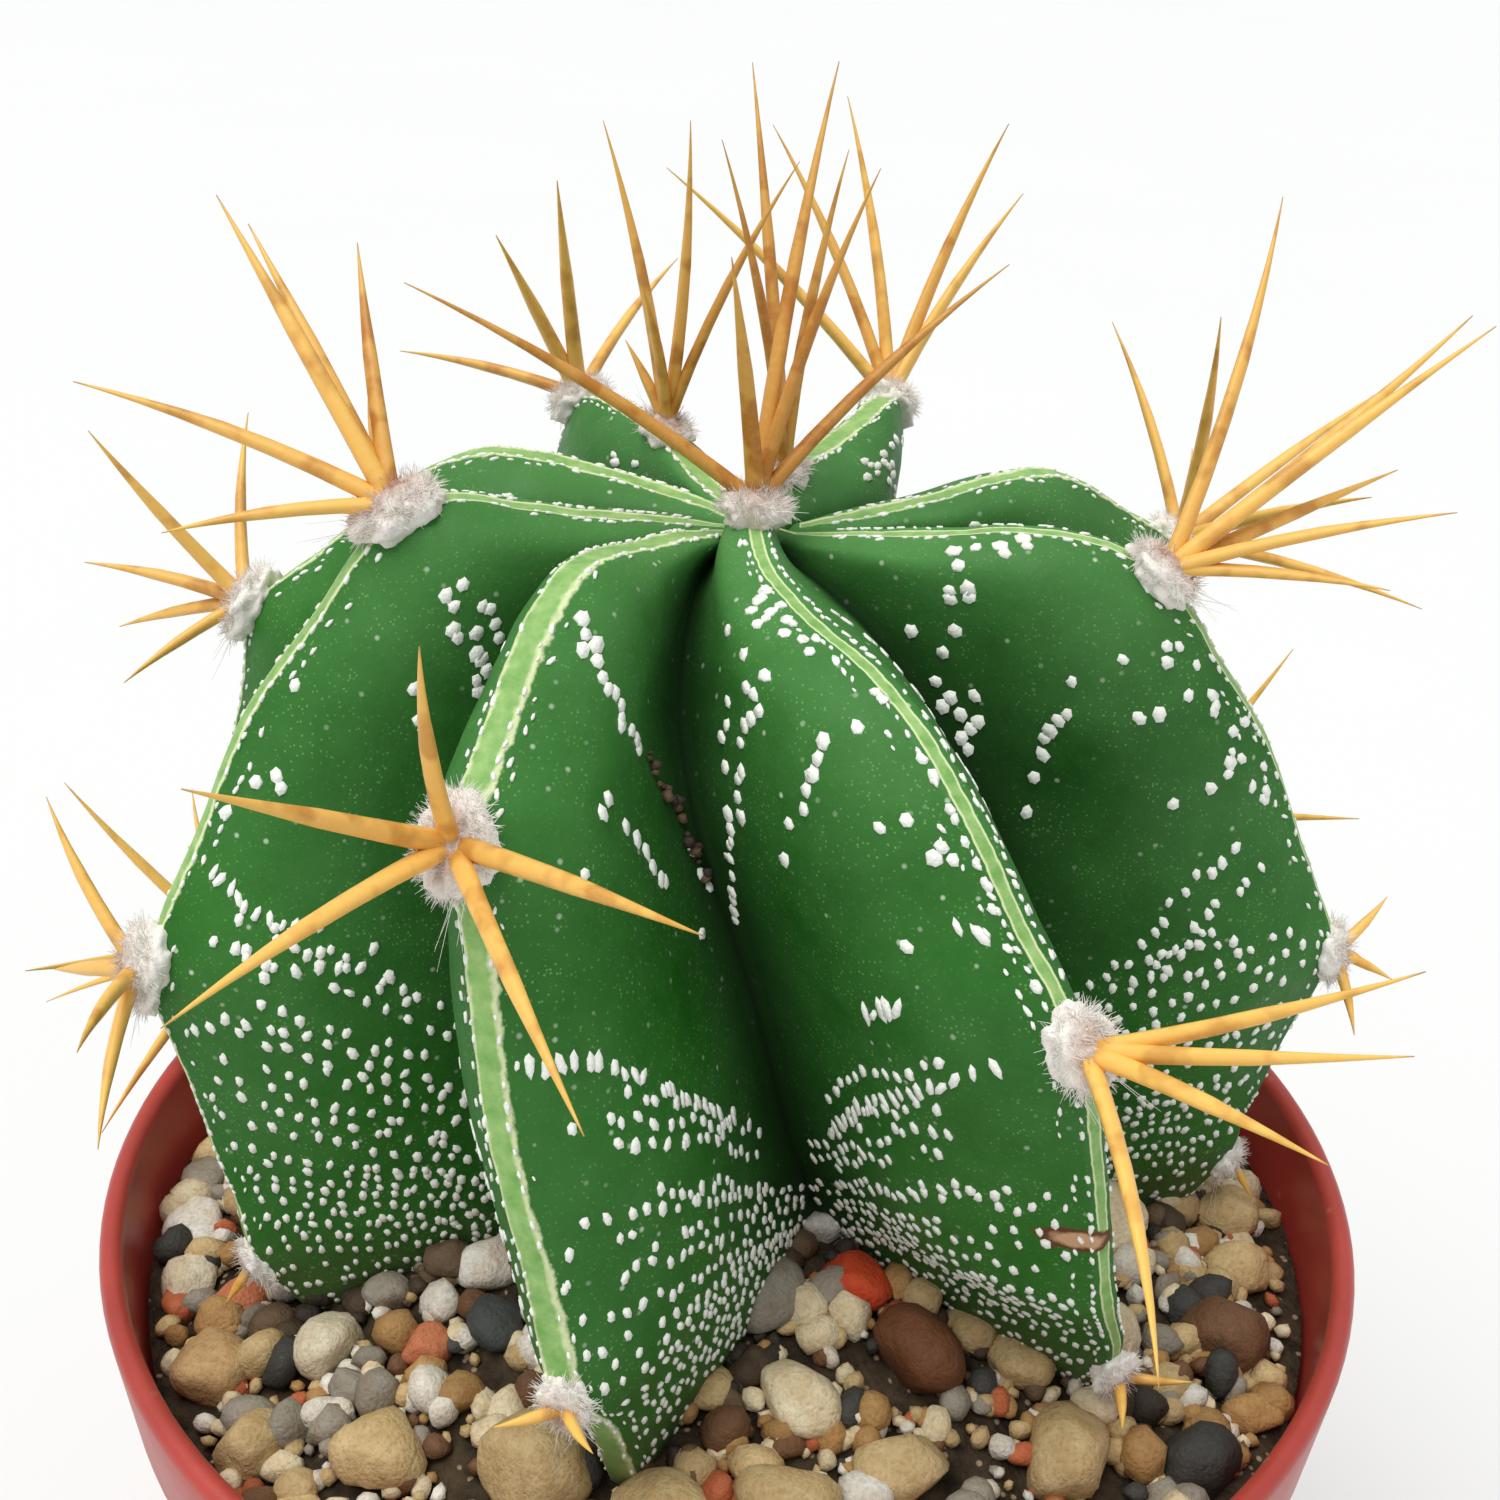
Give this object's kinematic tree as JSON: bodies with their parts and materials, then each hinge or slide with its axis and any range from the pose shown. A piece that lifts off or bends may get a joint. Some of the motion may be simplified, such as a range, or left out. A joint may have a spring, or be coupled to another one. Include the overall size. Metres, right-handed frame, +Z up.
{
  "type": "potted monk's hood cactus",
  "caption": "Squat barrel cactus with sharp, slightly spiralling ribs, woolly areoles and stiff spines, standing in gravel in a round plastic pot.",
  "frame": {"origin": "centre of the pot's flat underside", "axes": "+Z up along the pot's axis; -Y is the side seen from the front, +X to the right"},
  "size_m": [0.1, 0.105, 0.1456],
  "materials": {
    "pot": "satin red-maroon moulded plastic",
    "soil": "dark brown potting soil",
    "gravel": "mixed rounded pebbles, white, cream, tan, terracotta and slate",
    "stem": "deep green waxy skin with white flecks",
    "spine": "amber horn-like spines",
    "wool": "short cream felt on the areoles"
  },
  "bodies": {
    "root": {"pot": "pot", "potting_soil": "soil", "gravel": "gravel", "stem": "stem", "areole_A1": "spine", "areole_A2": "spine", "areole_B0": "spine", "areole_B1": "spine", "areole_B2": "spine", "areole_D1": "spine", "areole_D2": "spine", "areole_D3": "spine", "areole_F1": "spine", "areole_F2": "spine", "areole_H0": "spine", "areole_H1": "spine", "areole_H2": "spine", "areole_G0": "spine", "areole_G1": "spine", "areole_G2": "spine", "areole_E1": "spine", "areole_E2": "spine", "areole_C1": "spine", "areole_C2": "spine", "areole_C3": "spine"}
  },
  "joints": []
}
